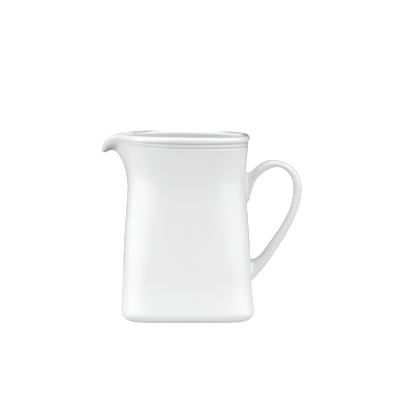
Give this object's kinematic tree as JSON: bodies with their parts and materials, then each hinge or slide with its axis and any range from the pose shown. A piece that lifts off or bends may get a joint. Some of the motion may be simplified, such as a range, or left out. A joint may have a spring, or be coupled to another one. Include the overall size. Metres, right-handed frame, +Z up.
{
  "type": "cream jug",
  "caption": "White glazed porcelain cream jug: rounded-square body flaring to its foot, round rolled rim, hooked pouring lip and open loop handle.",
  "frame": {"origin": "on the surface the jug stands on, under the middle of the box round the whole jug, lip and handle included; the vessel's own axis is at x = -0.0078 m", "axes": "+X towards the handle, -X towards the pouring lip, +Z up, and Y across, which is the plane of symmetry's normal"},
  "size_m": [0.1107, 0.0732, 0.1008],
  "materials": {
    "porcelain_glaze": "clear gloss glaze on white porcelain",
    "handle_glaze": "clear gloss glaze on white porcelain",
    "slip_glaze": "glazed luting slip, a little softer than the cast pieces",
    "unglazed_foot": "unglazed, polished bisque foot ring"
  },
  "bodies": {
    "root": {"body": "porcelain_glaze", "handle": "handle_glaze", "upper_handle_slip": "slip_glaze", "lower_handle_slip": "slip_glaze"}
  },
  "joints": []
}
